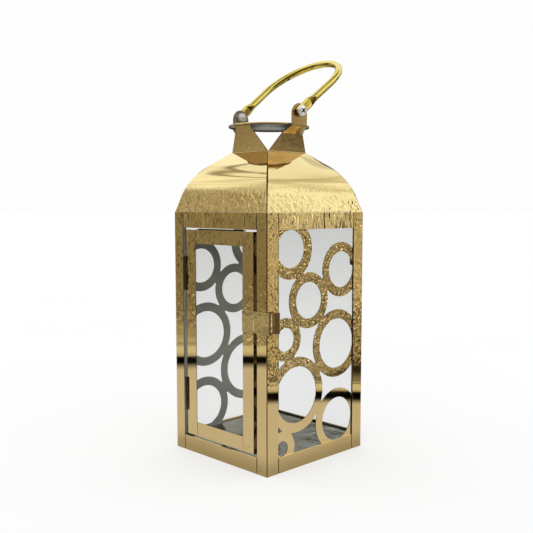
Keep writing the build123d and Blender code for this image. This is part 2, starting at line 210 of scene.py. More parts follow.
def gold_material(name, tint, hammer=0.0004, roughness=0.03, stretch=(1.0, 1.0, 1.0), dimples=0.6,
                  top_shade=(0.84, 0.82, 0.84), warp=0.3):
    """Mirror-polished gold plating: a slight drift of colour, faint smears, hammered grain.

    The hammer is the grain's depth in metres, the warp the strength of the sheet's slow waves,
    and the second colour is a painted shade: the colour is multiplied by it above the neck.
    """
    made, tree, shader = new_material(name, 1.0)
    coords = add_node(tree, "TexCoord")
    place, normal = coords.outputs["Object"], coords.outputs["Normal"]
    drift = noise_texture(tree, place, 22.0, detail=3.0)
    deep = [c * d for c, d in zip(tint, (0.95, 0.93, 0.90))]
    colour = ramp(tree, drift, (0.35, deep), (0.65, tint))
    dull_and_shaded = step(tree, part_of(tree, place, "Z"), *DULL_AND_SHADE_START)
    # Painted shade: above the neck the colour is darkened.
    colour = blend_colours(tree, dull_and_shaded, colour, multiply_colours(tree, colour, top_shade))
    link(colour, shader, "Base Color")
    smear = noise_texture(tree, place, 55.0, detail=4.0, roughness=0.6)
    polish = spread(tree, smear, roughness * 0.5, roughness * 1.6)
    link(maths(tree, "MULTIPLY_ADD", dull_and_shaded, TOP_ROUGHNESS, polish), shader, "Roughness")
    height, strength = hammered_height(tree, place, normal, stretch, dimples)
    waves = noise_texture(tree, place, WARP_SCALE, detail=1.0)
    broad = add_node(tree, "Bump", {"Height": waves, "Distance": WARP_DEPTH, "Strength": warp})
    fine = add_node(tree, "Bump", {"Height": height, "Distance": hammer, "Strength": strength,
                                   "Normal": broad.outputs["Normal"]})
    link(fine.outputs["Normal"], shader, "Normal")
    return made


def steel_material(name, tint, roughness=0.3, metallic=1.0, dented=False):
    """Bare rolled steel with soft stains, and fine lines along the sheet or else shallow dents."""
    made, tree, shader = new_material(name, metallic)
    place = object_place(tree)
    stains = noise_texture(tree, place, 30.0, detail=4.0, roughness=0.6)
    dark = [c * 0.8 for c in tint]
    link(ramp(tree, stains, (0.3, dark), (0.7, tint)), shader, "Base Color")
    link(spread(tree, stains, roughness * 0.8, roughness * 1.25), shader, "Roughness")
    if dented:
        height, depth = noise_texture(tree, place, 38.0, detail=2.0), 2 * MM
    else:
        stretched = add_node(tree, "Mapping", {"Vector": place, "Scale": (1.0, 1.0, 0.04)})
        height, depth = noise_texture(tree, stretched.outputs["Vector"], 2200.0, detail=1.0), 0.04 * MM
    bump = add_node(tree, "Bump", {"Height": height, "Distance": depth, "Strength": 0.5})
    link(bump.outputs["Normal"], shader, "Normal")
    return made


def bright_material(name, tint, metallic, roughness=0.10):
    """Nickel-plated hardware with tiny handling scratches."""
    made, tree, shader = new_material(name, metallic)
    place = object_place(tree)
    marks = noise_texture(tree, place, 900.0, detail=3.0)
    link(ramp(tree, marks, (0.3, [c * 0.85 for c in tint]), (0.6, tint)), shader, "Base Color")
    link(spread(tree, marks, roughness * 0.6, roughness * 1.6), shader, "Roughness")
    return made


def handle_material():
    """Yellow polished tube with faint drawing lines along it."""
    made, tree, shader = new_material("handle_gold", 1.0)
    place = object_place(tree)
    drift = noise_texture(tree, place, 45.0, detail=3.0)
    colour = ramp(tree, drift, (0.35, (0.76, 0.60, 0.14)), (0.65, (0.84, 0.70, 0.22)))
    link(colour, shader, "Base Color")
    scratches = noise_texture(tree, place, 160.0, detail=2.0)
    link(spread(tree, scratches, 0.10, 0.15), shader, "Roughness")
    return made


PANE_TOP = 0.24    # painted shade: the tint deepens from the floor up to here


def glass_material():
    """Clear float glass: a faint grey tint that lets light through, deepening upwards as painted shade, and
    a mirror at grazing angles.
    """
    made, tree, shader = new_material("clear_glass")
    tree.nodes.remove(shader)
    place = object_place(tree)
    haze = noise_texture(tree, place, 14.0, detail=3.0)
    low, middle, high = (0.968, 0.971, 0.970), (0.942, 0.945, 0.942), (0.876, 0.880, 0.874)
    height = maths(tree, "DIVIDE", part_of(tree, place, "Z"), PANE_TOP)
    tint = ramp(tree, height, (0.1, low), (0.5, middle), (1.0, high))
    tint = blend_colours(tree, maths(tree, "MULTIPLY", haze, 0.04), tint, (0.80, 0.81, 0.81))
    through = add_node(tree, "BsdfTransparent", {"Color": tint})
    mirror = add_node(tree, "BsdfGlossy", {"Color": (0.95, 0.97, 0.97, 1), "Roughness": 0.02})
    grazing = add_node(tree, "LayerWeight", {"Blend": 0.5}).outputs["Facing"]
    share = maths(tree, "MULTIPLY", maths(tree, "POWER", grazing, 3.0), 0.3)
    mixed = add_node(tree, "MixShader", {0: share, 1: through.outputs[0], 2: mirror.outputs[0]})
    tree.links.new(mixed.outputs[0], tree.nodes["Material Output"].inputs["Surface"])
    return made


GOLD_TINT = (0.83, 0.64, 0.31)
GOLD = gold_material("gold_sheet", GOLD_TINT)
POST_GOLD = gold_material("gold_post", GOLD_TINT, hammer=0.0003, stretch=(1.0, 1.0, 0.8))
RING_GOLD = gold_material("gold_ring", (0.87, 0.67, 0.34), hammer=0.0006, stretch=(1.15, 1.15, 1.15),
                          dimples=1.8)
# The right panel is a darker copy: painted shade on its petal and ear.
SHADED_ROOF_GOLD = gold_material("gold_roof_right_painted_shade", GOLD_TINT, top_shade=(0.68, 0.65, 0.70))
# The door's folded side edges: a near-black copy of the gold, painted shade.
FLANK_SHADE_GOLD = gold_material("gold_flank_painted_shade", (0.13, 0.08, 0.03), hammer=0.0001, warp=0.05)
RAIL_GOLD = gold_material("gold_rail", (0.81, 0.615, 0.285))
FRONT_RAIL_GOLD = gold_material("gold_front_rail", GOLD_TINT, hammer=0.0003, stretch=(1.0, 1.0, 0.3))
# The side top rails: a lighter copy of the gold, painted light.
LIT_TOP_RAIL_GOLD = gold_material("gold_top_rail_painted_light", (0.99, 0.80, 0.44), hammer=0.0006, stretch=(0.7, 0.7, 0.2))
DOOR_GOLD = gold_material("gold_door", (0.84, 0.65, 0.33), hammer=0.00035, stretch=(1.0, 1.0, 0.8))
# The latch: a lighter copy of the gold, painted light.
LIT_LATCH_GOLD = gold_material("gold_latch_painted_light", (0.97, 0.80, 0.47), hammer=0.00004, warp=0.1)
# Cut edges, and the rails' laps behind the posts: steel painted near black as the shade of the gaps between
# sheets.
EDGE_SHADE = steel_material("edge_painted_shade", (0.10, 0.085, 0.06), roughness=0.35)
STEEL = steel_material("bare_steel", (0.42, 0.415, 0.385), roughness=0.42, metallic=0.8)
RING_STEEL = steel_material("ring_steel", (0.62, 0.62, 0.565), roughness=0.7, metallic=0.5)
TRAY_STEEL = steel_material("tray_steel", (0.175, 0.175, 0.163), roughness=0.12, dented=True)
HINGE_STEEL = steel_material("hinge_steel", (0.30, 0.28, 0.24), roughness=0.2)
SCREW_STEEL = bright_material("screw_steel", (0.90, 0.89, 0.86), metallic=0.55)
NUT_STEEL = bright_material("nut_steel", (0.92, 0.91, 0.88), metallic=0.4)
ROOF_STEEL = steel_material("roof_steel", (0.30, 0.28, 0.23), roughness=0.34)
HANDLE_GOLD = handle_material()
GLASS = glass_material()
# The cross recess of the screws, painted near black: painted shade.
RECESS_SHADE = steel_material("screw_recess_painted_shade", (0.05, 0.048, 0.044), roughness=0.5)
MARK = steel_material("weld_mark", (0.33, 0.23, 0.10), roughness=0.25)


# ================ mesh helpers
def new_object(name, data):
    made = bpy.data.objects.new(name, data)
    bpy.context.scene.collection.objects.link(made)
    return made


def new_piece(name, mesh, body, slot, *materials):
    """A mesh object that rides on a body and wears the given materials. The slot is not used."""
    made = new_object(name, mesh)
    for material in materials:
        mesh.materials.append(material)
    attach(made, body)
    return made


def mesh_from(name, points, faces):
    mesh = bpy.data.meshes.new(name)
    mesh.from_pydata([tuple(p) for p in points], [], faces)
    mesh.update()
    return mesh


def mesh_of(work, name):
    """The mesh of a bmesh, which is used up."""
    mesh = bpy.data.meshes.new(name)
    work.to_mesh(mesh)
    work.free()
    return mesh


def smooth(mesh, angle):
    """Smooth shading, with edges sharper than the angle kept sharp."""
    mesh.polygons.foreach_set("use_smooth", [True] * len(mesh.polygons))
    mesh.set_sharp_from_angle(angle=radians(angle))


def modify(piece, kind, **settings):
    made = piece.modifiers.new(kind.lower(), kind)
    for key, value in settings.items():
        setattr(made, key, value)


def apply_modifiers(piece):
    """Bakes the modifiers into the piece's mesh."""
    evaluated = piece.evaluated_get(bpy.context.evaluated_depsgraph_get())
    mesh = bpy.data.meshes.new_from_object(evaluated)
    piece.modifiers.clear()
    old = piece.data
    piece.data = mesh
    bpy.data.meshes.remove(old)


def soften(piece, width=0.12 * MM, crease=40, angle=50):
    """Smooth shading, and every edge sharper than the angle rounded. Flat faces stay truly flat."""
    smooth(piece.data, crease)
    modify(piece, "BEVEL", width=width, segments=2, limit_method="ANGLE", angle_limit=radians(angle),
           use_clamp_overlap=True, harden_normals=False)
    modify(piece, "WEIGHTED_NORMAL", keep_sharp=True, weight=100)


def thicken(piece, thickness=SHEET, **settings):
    """Turns a sheet's middle surface into the sheet."""
    modify(piece, "SOLIDIFY", thickness=thickness, offset=0, use_even_offset=True, **settings)
    apply_modifiers(piece)


def subtract(piece, work, **settings):
    """Cuts a bmesh shape out of a piece."""
    mesh = mesh_of(work, "cutter")
    cutter = new_object("cutter", mesh)
    modify(piece, "BOOLEAN", object=cutter, operation="DIFFERENCE", solver="EXACT", **settings)
    apply_modifiers(piece)
    bpy.data.objects.remove(cutter)
    bpy.data.meshes.remove(mesh)


def weld_close(mesh, distance):
    """Joins points that lie together, such as the rings at a pole, and turns normals outward."""
    work = bmesh.new()
    work.from_mesh(mesh)
    bmesh.ops.remove_doubles(work, verts=work.verts, dist=distance)
    bmesh.ops.recalc_face_normals(work, faces=work.faces)
    work.to_mesh(mesh)
    work.free()


def ease(value, low, high):
    """0 below low, 1 above high, smooth between. It falls instead where low is above high."""
    t = max(0.0, min(1.0, (value - low) / (high - low)))
    return t * t * (3 - 2 * t)


def rounded_path(points, radii, arc_step=10):
    """Points along a polyline whose corners are arcs of these radii, about arc_step degrees apart."""
    path = [Vector(points[0])]
    for a, b, c, radius in zip(points, points[1:], points[2:], radii):
        a, b, c = Vector(a), Vector(b), Vector(c)
        into, out = (b - a).normalized(), (c - b).normalized()
        turn = acos(max(-1, min(1, into.dot(out))))
        reach = radius * tan(turn / 2)
        start, side = b - into * reach, 1 if into.x * out.y - into.y * out.x > 0 else -1
        centre = start + Vector((-into.y, into.x)) * radius * side
        count = max(2, ceil(degrees(turn) / arc_step))
        for i in range(count + 1):
            angle = turn * i / count * side
            arm = start - centre
            path.append(centre + Vector((arm.x * cos(angle) - arm.y * sin(angle),
                                         arm.x * sin(angle) + arm.y * cos(angle))))
    path.append(Vector(points[-1]))
    return path


def spaced(path, longest):
    """The same path with its long runs divided, so that no two points are further apart."""
    out = [path[0]]
    for a, b in zip(path, path[1:]):
        count = max(1, ceil((b - a).length / longest))
        out += [a.lerp(b, i / count) for i in range(1, count + 1)]
    return out


def grid_faces(rows, columns, closed=False, start=0):
    """Quads of a grid of points held row by row. A closed grid joins its last column to its first."""
    faces = []
    for r in range(rows - 1):
        for c in range(columns if closed else columns - 1):
            d = (c + 1) % columns
            near, far = start + r * columns, start + (r + 1) * columns
            faces.append((near + c, near + d, far + d, far + c))
    return faces


def quarter_turn(turns):
    """A turn about the lantern's upright axis."""
    return Matrix.Rotation(turns * pi / 2, 4, "Z")


def clean_copy(node):
    """The CAD node's mesh as one closed skin, with flat regions as single faces."""
    work = bmesh.new()
    work.from_mesh(frame["nodes"][node].data)
    bmesh.ops.remove_doubles(work, verts=work.verts, dist=0.002 * MM)
    bmesh.ops.dissolve_limit(work, angle_limit=radians(0.6), verts=work.verts, edges=work.edges)
    return mesh_of(work, node + "_skin")


def slot_of(node):
    return next(s["material_slot"] for s in frame["record"]["subparts"] if s["node"] == node)


def is_raw_edge(face, mesh):
    """Whether a face is as narrow as the sheet is thick, as a cut edge is."""
    points = [mesh.vertices[i].co for i in face.vertices]
    outline = sum((a - b).length for a, b in zip(points, points[1:] + points[:1]))
    return 2 * face.area / outline < 1.15 * SHEET


def dressed(node, materials, choose=None, bevel=0.1):
    """A finished copy that stands for a CAD node: edges rounded, each face given its material."""
    mesh = clean_copy(node)
    piece = new_piece(node + "_skin", mesh, frame["nodes"][node]["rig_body"], slot_of(node), *materials)
    if choose:
        for face in mesh.polygons:
            face.material_index = EDGE if is_raw_edge(face, mesh) else choose(face.center, face.normal)
    soften(piece, bevel * MM, 30, 32)
    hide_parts(node)
    return piece


# ================ which side of a sheet is gold
OUTSIDE, INSIDE, EDGE, FLANK = 0, 1, 2, 3    # the order of a sheet's materials
LAP_START = 57 * MM    # beyond this, a rail's faces are its laps behind the posts
CORNER_REACH = 15 * MM    # near a corner, a face may belong to either side
HEM_DEPTH = 3.5 * MM
HEM_SLACK = 0.2 * MM
DOOR_MIDDLE = (0.7 * MM, 125.6 * MM)


def outward(centre, normal):
    """Gold on faces that look away from the lantern's middle, bare steel on the others."""
    x = normal.x if abs(centre.x) > abs(centre.y) - CORNER_REACH else 0
    y = normal.y if abs(centre.y) > abs(centre.x) - CORNER_REACH else 0
    seen = x * (1 if centre.x > 0 else -1) > 0.4 or y * (1 if centre.y > 0 else -1) > 0.4
    return OUTSIDE if seen else INSIDE


def rail_side(hem_low, hem_high):
    """For a rail: outside faces and the folded-over hem are gold, the laps behind the posts painted dark as
    shade.
    """
    def choose(centre, normal):
        if min(abs(centre.x), abs(centre.y)) > LAP_START:
            return EDGE
        hem = hem_low - HEM_SLACK <= centre.z <= hem_high + HEM_SLACK
        return OUTSIDE if hem else outward(centre, normal)
    return choose


def door_side(centre, normal):
    """For the door: a gold face, folded edges painted dark as shade, and bare steel inside."""
    if normal.y < -0.5:
        return OUTSIDE
    middle_x, middle_z = DOOR_MIDDLE
    if abs(normal.x) > 0.7:
        away = normal.x * (centre.x - middle_x) > 0.02
    else:
        away = normal.z * (centre.z - middle_z) > 0.05
    return FLANK if away else INSIDE


# ================ upright frame
def corner_posts():
    """Each post is one bent strip with a soft corner."""
    middle = HALF - SHEET / 2
    section = rounded_path([(POST_LOW.x, middle), (middle, middle), (middle, POST_LOW.y)], [0.7 * MM])
    section = spaced(section, 5 * MM)
    rows = 24
    for name, x_side, y_side in (("back_right", 1, 1), ("back_left", -1, 1),
                                 ("front_left", -1, -1), ("front_right", 1, -1)):
        points = []
        for r in range(rows + 1):
            z = EAVE_Z * r / rows
            points += [Vector((x_side * p.x, y_side * p.y, z)) for p in section]
        mesh = mesh_from(f"post_{name}", points, grid_faces(rows + 1, len(section)))
        if x_side == y_side:
            mesh.flip_normals()
        piece = new_piece(f"post_{name}", mesh, "housing", "gold_sheet", POST_GOLD, STEEL, EDGE_SHADE)
        thicken(piece, material_offset=INSIDE, material_offset_rim=EDGE)
        soften(piece)
        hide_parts(f"corner_post_{name}")


def rails():
    for side in ("right", "back", "left", "front"):
        # The side top rails take the lighter copy of the gold: painted light.
        upper_gold = LIT_TOP_RAIL_GOLD if side in ("right", "left") else FRONT_RAIL_GOLD
        for level, gold in (("bottom", RAIL_GOLD), ("top", upper_gold)):
            node = f"{level}_rail_{side}"
            low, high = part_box(node)
            hem = (high.z - HEM_DEPTH, high.z) if level == "bottom" else (low.z, low.z + HEM_DEPTH)
            dressed(node, (gold, STEEL, EDGE_SHADE), rail_side(*hem), bevel=0.16)


def floor_tray():
    dressed("base_tray", (TRAY_STEEL,), bevel=0.4)


def ring_screens():
    for side in ("right", "left"):
        dressed(f"ring_screen_{side}", (RING_GOLD, RING_STEEL, EDGE_SHADE), outward, bevel=0.08)


def glazing():
    for node in ("side_glass_right", "side_glass_left", "back_glass", "door_glass"):
        dressed(node, (GLASS,), bevel=0.15)
    for node in ("glass_clips_right", "glass_clips_left", "glass_clips_back", "door_glass_clips"):
        dressed(node, (STEEL,), bevel=0.12)


# ================ roof
RIGHT, BACK, LEFT, FRONT = range(4)    # the quarter turns from the +X side
NECK_HALF = 27 * MM
NECK_Z = 312.2 * MM
ROOF_KNEE = (58.9 * MM, 287.3 * MM)
ROOF_ARC = 60 * MM
ROOF_EDGE = 69.55 * MM
HIP_GAP = 0.35 * MM
HIP_OPEN = 0.55 * MM    # the seam is this much wider over the bend
HIP_OPEN_Z = (262 * MM, 306 * MM)
LOOSE_HIP = 0.9 * MM    # the right panel stops this much shorter of the hip at the back
CREASE_Z = 290.7 * MM    # a soft crease across the front panel
CREASE_WIDTH = 2.5 * MM
CREASE_DEPTH = 0.34 * MM
RIPPLE_DEPTH = 0.35 * MM    # of the hips
FRONT_RIPPLE_DEPTH = 0.12 * MM
HOLLOW_DEPTH = 0.9 * MM    # beside the neck, on the right panel
PETAL_TAPER = 0.662
TAB_Z = 339.1 * MM    # the plain petals' tabs lie just under the cap
EAR_X = 43.7 * MM
EAR_HALF = 10.9 * MM
EAR_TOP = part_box("roof_panel_right")[1].z
EAR_CENTRE = EAR_TOP - EAR_HALF
HOLE_RADIUS = 2.5 * MM    # of the pivot holes
TONGUE_LOW, TONGUE_HIGH, TONGUE_REACH = 243.8 * MM, EAVE_Z + 0.9 * MM, 52 * MM


def hip_gap(z):
    """The seam between two panels opens a little over the bend and closes at both ends."""
    low, high = HIP_OPEN_Z
    t = (z - low) / (high - low)
    return HIP_GAP + (HIP_OPEN * sin(pi * t) ** 2 if 0 < t < 1 else 0)


def petal_half(z):
    return max(EAR_HALF, NECK_HALF - HIP_GAP - PETAL_TAPER * (z - NECK_Z))


def roof_rows(path, round_top):
    """Each point of the section with the panel's half width: mitred below the neck, tapered above."""
    rows = []
    above = False
    for p in path:
        above = above or p.y >= NECK_Z - 0.4 * MM
        half = petal_half(p.y) if above else p.x - hip_gap(p.y)
        if round_top and p.y > EAR_CENTRE:
            half = sqrt(max(EAR_HALF ** 2 - (p.y - EAR_CENTRE) ** 2, (0.05 * MM) ** 2))
        rows.append((p, half))
    return rows


def dent(z, share, turns):
    """How far a hand-bent panel is off its true curve: rippled hips, and hollows beside the neck."""
    if not EAVE_Z + 2 * MM < z < NECK_Z - 1 * MM:
        return 0.0
    side = 1 if share > 0 else -1
    ripple = value_noise.noise(Vector((z * 95, 3.7 * turns, side)))
    held = ease(z, EAVE_Z + 2 * MM, EAVE_Z + 9 * MM) * ease(z, NECK_Z - 1 * MM, NECK_Z - 8 * MM)
    hollow = ease(z, 290 * MM, 303 * MM) * ease(z, NECK_Z - 1 * MM, NECK_Z - 6 * MM)
    edge = ease(abs(share), 0.80, 1.0)
    corner = ease(abs(share), 0.35, 0.95)
    depth = HOLLOW_DEPTH if turns == RIGHT else 0.0
    swing = FRONT_RIPPLE_DEPTH if turns == FRONT else RIPPLE_DEPTH
    crease = 0.0
    if turns == FRONT:
        away = (z - CREASE_Z + 4 * MM * share) / (CREASE_WIDTH * (1 - 0.4 * share))
        crease = CREASE_DEPTH * (1 - 0.5 * share) * exp(-away * away / 2)
    return swing * ripple * held * edge - depth * hollow * corner - crease


def roof_panel(name, turns, top_points, top_radii, round_top):
    """A curved panel with its petal, as one even grid of the sheet's middle, thickened."""
    points = [(ROOF_EDGE, EAVE_Z - 1 * MM), ROOF_KNEE, (NECK_HALF, NECK_Z), *top_points]
    path = rounded_path(points, [ROOF_ARC, 1.2 * MM, *top_radii], 1.25)
    path = spaced(path, 1.5 * MM)
    if round_top:
        path = [p for p in path if p.y <= EAR_CENTRE]
        path += [Vector((EAR_X, EAR_CENTRE + EAR_HALF * sin(radians(6 * i)))) for i in range(1, 16)]
    rows = roof_rows(path, round_top)
    columns = 41
    points = []
    for n, (p, half) in enumerate(rows):
        along = (path[min(n + 1, len(path) - 1)] - path[max(n - 1, 0)]).normalized()
        below_neck = ease(p.y, NECK_Z - 2 * MM, NECK_Z - 9 * MM)
        for c in range(columns):
            share = 2 * c / (columns - 1) - 1
            lift = dent(p.y, share, turns)
            loose = LOOSE_HIP * below_neck if turns == RIGHT and share > 0 else 0
            spot = Vector((p.x + along.y * lift, (half - loose) * share, p.y - along.x * lift))
            points.append(quarter_turn(turns) @ spot)
    mesh = mesh_from(f"roof_{name}", points, grid_faces(len(rows), columns))
    # The right panel takes the darker copy of the gold: painted shade.
    gold = SHADED_ROOF_GOLD if turns == RIGHT else GOLD
    piece = new_piece(f"roof_{name}", mesh, "housing", "gold_sheet", gold, ROOF_STEEL, EDGE_SHADE)
    thicken(piece, material_offset=INSIDE, material_offset_rim=EDGE)
    if round_top:
        drill(piece)
    soften(piece, 0.1 * MM, 38)
    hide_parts(f"roof_panel_{name}")


def drill(piece):
    """The pivot hole, along X through the ears or the handle's ends."""
    work = bmesh.new()
    along_x = Matrix.Translation((0, 0, PIVOT_Z)) @ Matrix.Rotation(pi / 2, 4, "Y")
    bmesh.ops.create_cone(work, cap_ends=True, segments=48, radius1=HOLE_RADIUS, radius2=HOLE_RADIUS,
                          depth=2 * HALF, matrix=along_x)
    subtract(piece, work)


def roof():
    tab = [(36.9 * MM, TAB_Z), (29 * MM, TAB_Z)]
    roof_panel("back", BACK, tab, [1.0 * MM], False)
    roof_panel("front", FRONT, tab, [1.0 * MM], False)
    ear = [(34 * MM, 330 * MM), (EAR_X, 337.5 * MM), (EAR_X, EAR_TOP)]
    roof_panel("right", RIGHT, ear, [1.5 * MM, 1.5 * MM], True)
    roof_panel("left", LEFT, ear, [1.5 * MM, 1.5 * MM], True)
    roof_tongues()


def roof_tongues():
    """The tongue of each panel that goes down behind the top rail, inside the lantern."""
    x0, x1 = HALF - 2 * SHEET, HALF - SHEET
    work = bmesh.new()
    for turns in range(4):
        middle = Matrix.Translation(((x0 + x1) / 2, 0, (TONGUE_LOW + TONGUE_HIGH) / 2))
        size = Matrix.Diagonal((x1 - x0, 2 * TONGUE_REACH, TONGUE_HIGH - TONGUE_LOW, 1))
        bmesh.ops.create_cube(work, size=1, matrix=quarter_turn(turns) @ middle @ size)
    bmesh.ops.bevel(work, geom=work.edges, offset=0.12 * MM, segments=2, affect="EDGES", profile=0.5)
    mesh = mesh_of(work, "roof_tongues")
    smooth(mesh, 30)
    new_piece("roof_tongues", mesh, "housing", "gold_sheet", STEEL)


def lathe(profile, count, place):
    """Points and faces of a shape turned about local Z from (radius, height) points."""
    points = []
    for radius, height in profile:
        for i in range(count):
            angle = 2 * pi * i / count
            points.append(place @ Vector((radius * cos(angle), radius * sin(angle), height)))
    return points, grid_faces(len(profile), count, closed=True)


def vent_cap():
    """A pressed round plate with a rounded lip, very slightly uneven like any thin sheet."""
    radius = CAP_HIGH.x - SHEET / 2
    middle = CAP_HIGH.z - SHEET / 2
    path = rounded_path([(0, middle), (radius, middle), (radius, CAP_LOW.z)], [1.2 * MM])
    path = spaced(path, 3 * MM)
    path[0] = Vector((0.01 * MM, middle))
    points, faces = lathe([(p.x, p.y) for p in path], 120, Matrix.Identity(4))
    for p in points:
        away = hypot(p.x, p.y) / radius
        wave = 0.5 + 0.5 * value_noise.noise(Vector((p.x, p.y, 0)) * 45)
        p.z -= 0.25 * MM * wave * (1 - away ** 2)
    mesh = mesh_from("cap", points, faces)
    piece = new_piece("cap", mesh, "housing", "gold_sheet", GOLD, STEEL)
    weld_close(mesh, 0.05 * MM)
    thicken(piece, material_offset=INSIDE)
    soften(piece, crease=45)
    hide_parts("vent_cap")


# ================ door
FLANGE_LIFT = 1.1 * MM    # the back of the top rail's flange stands up by this much
LATCH_SHEET = 0.7 * MM
LATCH_STEP = 0.8 * MM
LATCH_LIP = [(x * MM, y * MM) for x, y in ((75.6, -68.6), (71.5, -62.6), (74.9, -58.6), (74.2, -57.4))]
LATCH_BENDS = [radius * MM for radius in (0.8, 0.8, 1.0, 0.8, 0.9, 0.6)]


def door():
    flange_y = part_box("door_rail_top")[1].y - 0.7 * MM
    for node in ("door_stile_hinge", "door_stile_latch", "door_rail_top", "door_rail_bottom"):
        piece = dressed(node, (DOOR_GOLD, STEEL, EDGE_SHADE, FLANK_SHADE_GOLD), door_side, bevel=0.22)
        if node == "door_rail_top":
            for vertex in piece.data.vertices:
                if vertex.co.z > DOOR_HIGH.z - 0.7 * MM and vertex.co.y > flange_y:
                    vertex.co.z += FLANGE_LIFT


def latch():
    """The spring strip: flat on the stile, bent round the post, rolled outward at its end."""
    low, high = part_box("latch_clip")
    on_door = DOOR_LOW.y - LATCH_SHEET / 2
    proud = on_door - LATCH_STEP
    stile_low, stile_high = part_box("door_stile_latch")
    points = [(stile_low.x, on_door), (stile_high.x + 0.2 * MM, on_door), (stile_high.x + 2.2 * MM, proud),
              (LATCH_LIP[0][0], proud), *LATCH_LIP]
    section = spaced(rounded_path(points, LATCH_BENDS), 2.5 * MM)
    rows = 9
    points = [Vector((p.x, p.y, low.z + (high.z - low.z) * r / (rows - 1)))
              for r in range(rows) for p in section]
    mesh = mesh_from("latch", points, grid_faces(rows, len(section)))
    piece = new_piece("latch", mesh, "door", "gold_sheet", LIT_LATCH_GOLD)
    thicken(piece, LATCH_SHEET)
    soften(piece, 0.14 * MM)
    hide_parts("latch_clip")


def hinges():
    for name in ("lower", "upper"):
        for part in ("frame_leaf", "door_leaf", "pin"):
            dressed(f"hinge_{name}_{part}", (HINGE_STEEL,), bevel=0.18)


# ================ handle, screws and nuts
TUBE_RADIUS = 3.7 * MM
ARCH_RADIUS = 47.4 * MM
ARCH_CENTRE = 54.0 * MM
TAB_X = 45.5 * MM
TAB_LOW, TAB_HIGH = -6 * MM, 14 * MM
TAB_HALF_WIDTH = 5.3 * MM
TAB_HALF_THICK = 1.2 * MM
TAB_CORNER = 4.6 * MM
TAB_POWER = 0.42    # how square a flattened end's section is; 1 is an ellipse
PINCH = 1.5 * MM    # depth of the pinch where the tube turns flat
SPLAY_START = 10 * MM
TUBE_START = 24 * MM
HEAD_RADIUS, HEAD_HEIGHT, HEAD_RIM = 5.7 * MM, 3.0 * MM, 0.9 * MM
SHANK_RADIUS, ROOT_RADIUS = 2.45 * MM, 2.1 * MM
THREAD_TOP, THREAD_LENGTH, THREAD_PITCH = -0.8 * MM, 9.2 * MM, 0.8 * MM
RECESS_LEVELS = ((1.3 * MM, 1.1 * MM, 0.35 * MM), (3.4 * MM, 3.5 * MM, 0.8 * MM))    # z, length, width
NUT_FLATS, NUT_HEIGHT, NUT_CHAMFER = 4.0 * MM, 4.0 * MM, 0.35 * MM


def handle_line():
    """Centre line of the right half as (x, s), with s away from the pivot, from the tab to the top."""
    rise = ARCH_CENTRE - SPLAY_START
    run = sqrt(TAB_X ** 2 + rise ** 2 - ARCH_RADIUS ** 2)
    lean = atan2(ARCH_RADIUS, run) - atan2(TAB_X, rise)
    touch = Vector((TAB_X + run * sin(lean), SPLAY_START + run * cos(lean)))
    foot = Vector((TAB_X + (TUBE_START - SPLAY_START) * tan(lean), TUBE_START))
    line = [(TAB_X, s * MM) for s in (-6, -5.6, -4.9, -4, -2.5, -1, 1, 3, 6, 9, 12, 14)]
    for i in range(1, 11):
        t = i / 10
        line.append((TAB_X + (foot.x - TAB_X) * ease(t, 0, 1), TAB_HIGH + (TUBE_START - TAB_HIGH) * t))
    line += [tuple(foot.lerp(touch, i / 5)) for i in range(1, 6)]
    start = atan2(touch.y - ARCH_CENTRE, touch.x)
    for i in range(1, 33):
        angle = start + (pi / 2 - start) * i / 32
        line.append((ARCH_RADIUS * cos(angle), ARCH_CENTRE + ARCH_RADIUS * sin(angle)))
    return line


def handle_section(s, angle):
    """A point of the tube's section at height s, as (across the lantern's depth, along its width)."""
    t = max(0.0, min(1.0, (s - TAB_HIGH) / (TUBE_START - TAB_HIGH)))
    rounding = ease(t, 0, 1)
    wide = TAB_HALF_WIDTH + (TUBE_RADIUS - TAB_HALF_WIDTH) * rounding
    thick = TAB_HALF_THICK + (TUBE_RADIUS - TAB_HALF_THICK) * rounding
    if s < TAB_LOW + TAB_CORNER:
        drop = TAB_LOW + TAB_CORNER - s
        wide -= TAB_CORNER - sqrt(max(TAB_CORNER ** 2 - drop ** 2, 0))
    power = TAB_POWER + (1 - TAB_POWER) * rounding
    u, v = cos(angle), sin(angle)
    across = wide * abs(u) ** power * (1 if u > 0 else -1)
    along = thick * abs(v) ** power * (1 if v > 0 else -1)
    pinch = PINCH * sin(pi * t) ** 2 * max(0.0, v) ** 6
    return across, along - pinch


def handle():
    """The bent tube with its flattened, drilled ends and the pinch where it turns flat."""
    half = handle_line()
    count = 48
    line = half + [(-x, s) for x, s in reversed(half[:-1])]
    tilt = Matrix.Translation((0, 0, PIVOT_Z)) @ Matrix.Rotation(-HANDLE_LEAN, 4, "X")
    points = []
    for n, (x, s) in enumerate(line):
        before, after = line[max(n - 1, 0)], line[min(n + 1, len(line) - 1)]
        along = Vector((after[0] - before[0], 0, after[1] - before[1])).normalized()
        normal = Vector((along.z, 0, -along.x))
        for i in range(count):
            across, out = handle_section(s, 2 * pi * i / count)
            points.append(tilt @ (Vector((x, across, s)) + normal * out))
    faces = grid_faces(len(line), count, closed=True)
    faces.append(tuple(reversed(range(count))))
    faces.append(tuple(range((len(line) - 1) * count, len(line) * count)))
    mesh = mesh_from("handle", points, faces)
    weld_close(mesh, 0.01 * MM)
    piece = new_piece("handle", mesh, "handle", "handle_gold", HANDLE_GOLD)
    drill(piece)
    soften(piece, 0.15 * MM, 35)
    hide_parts("handle_tube")


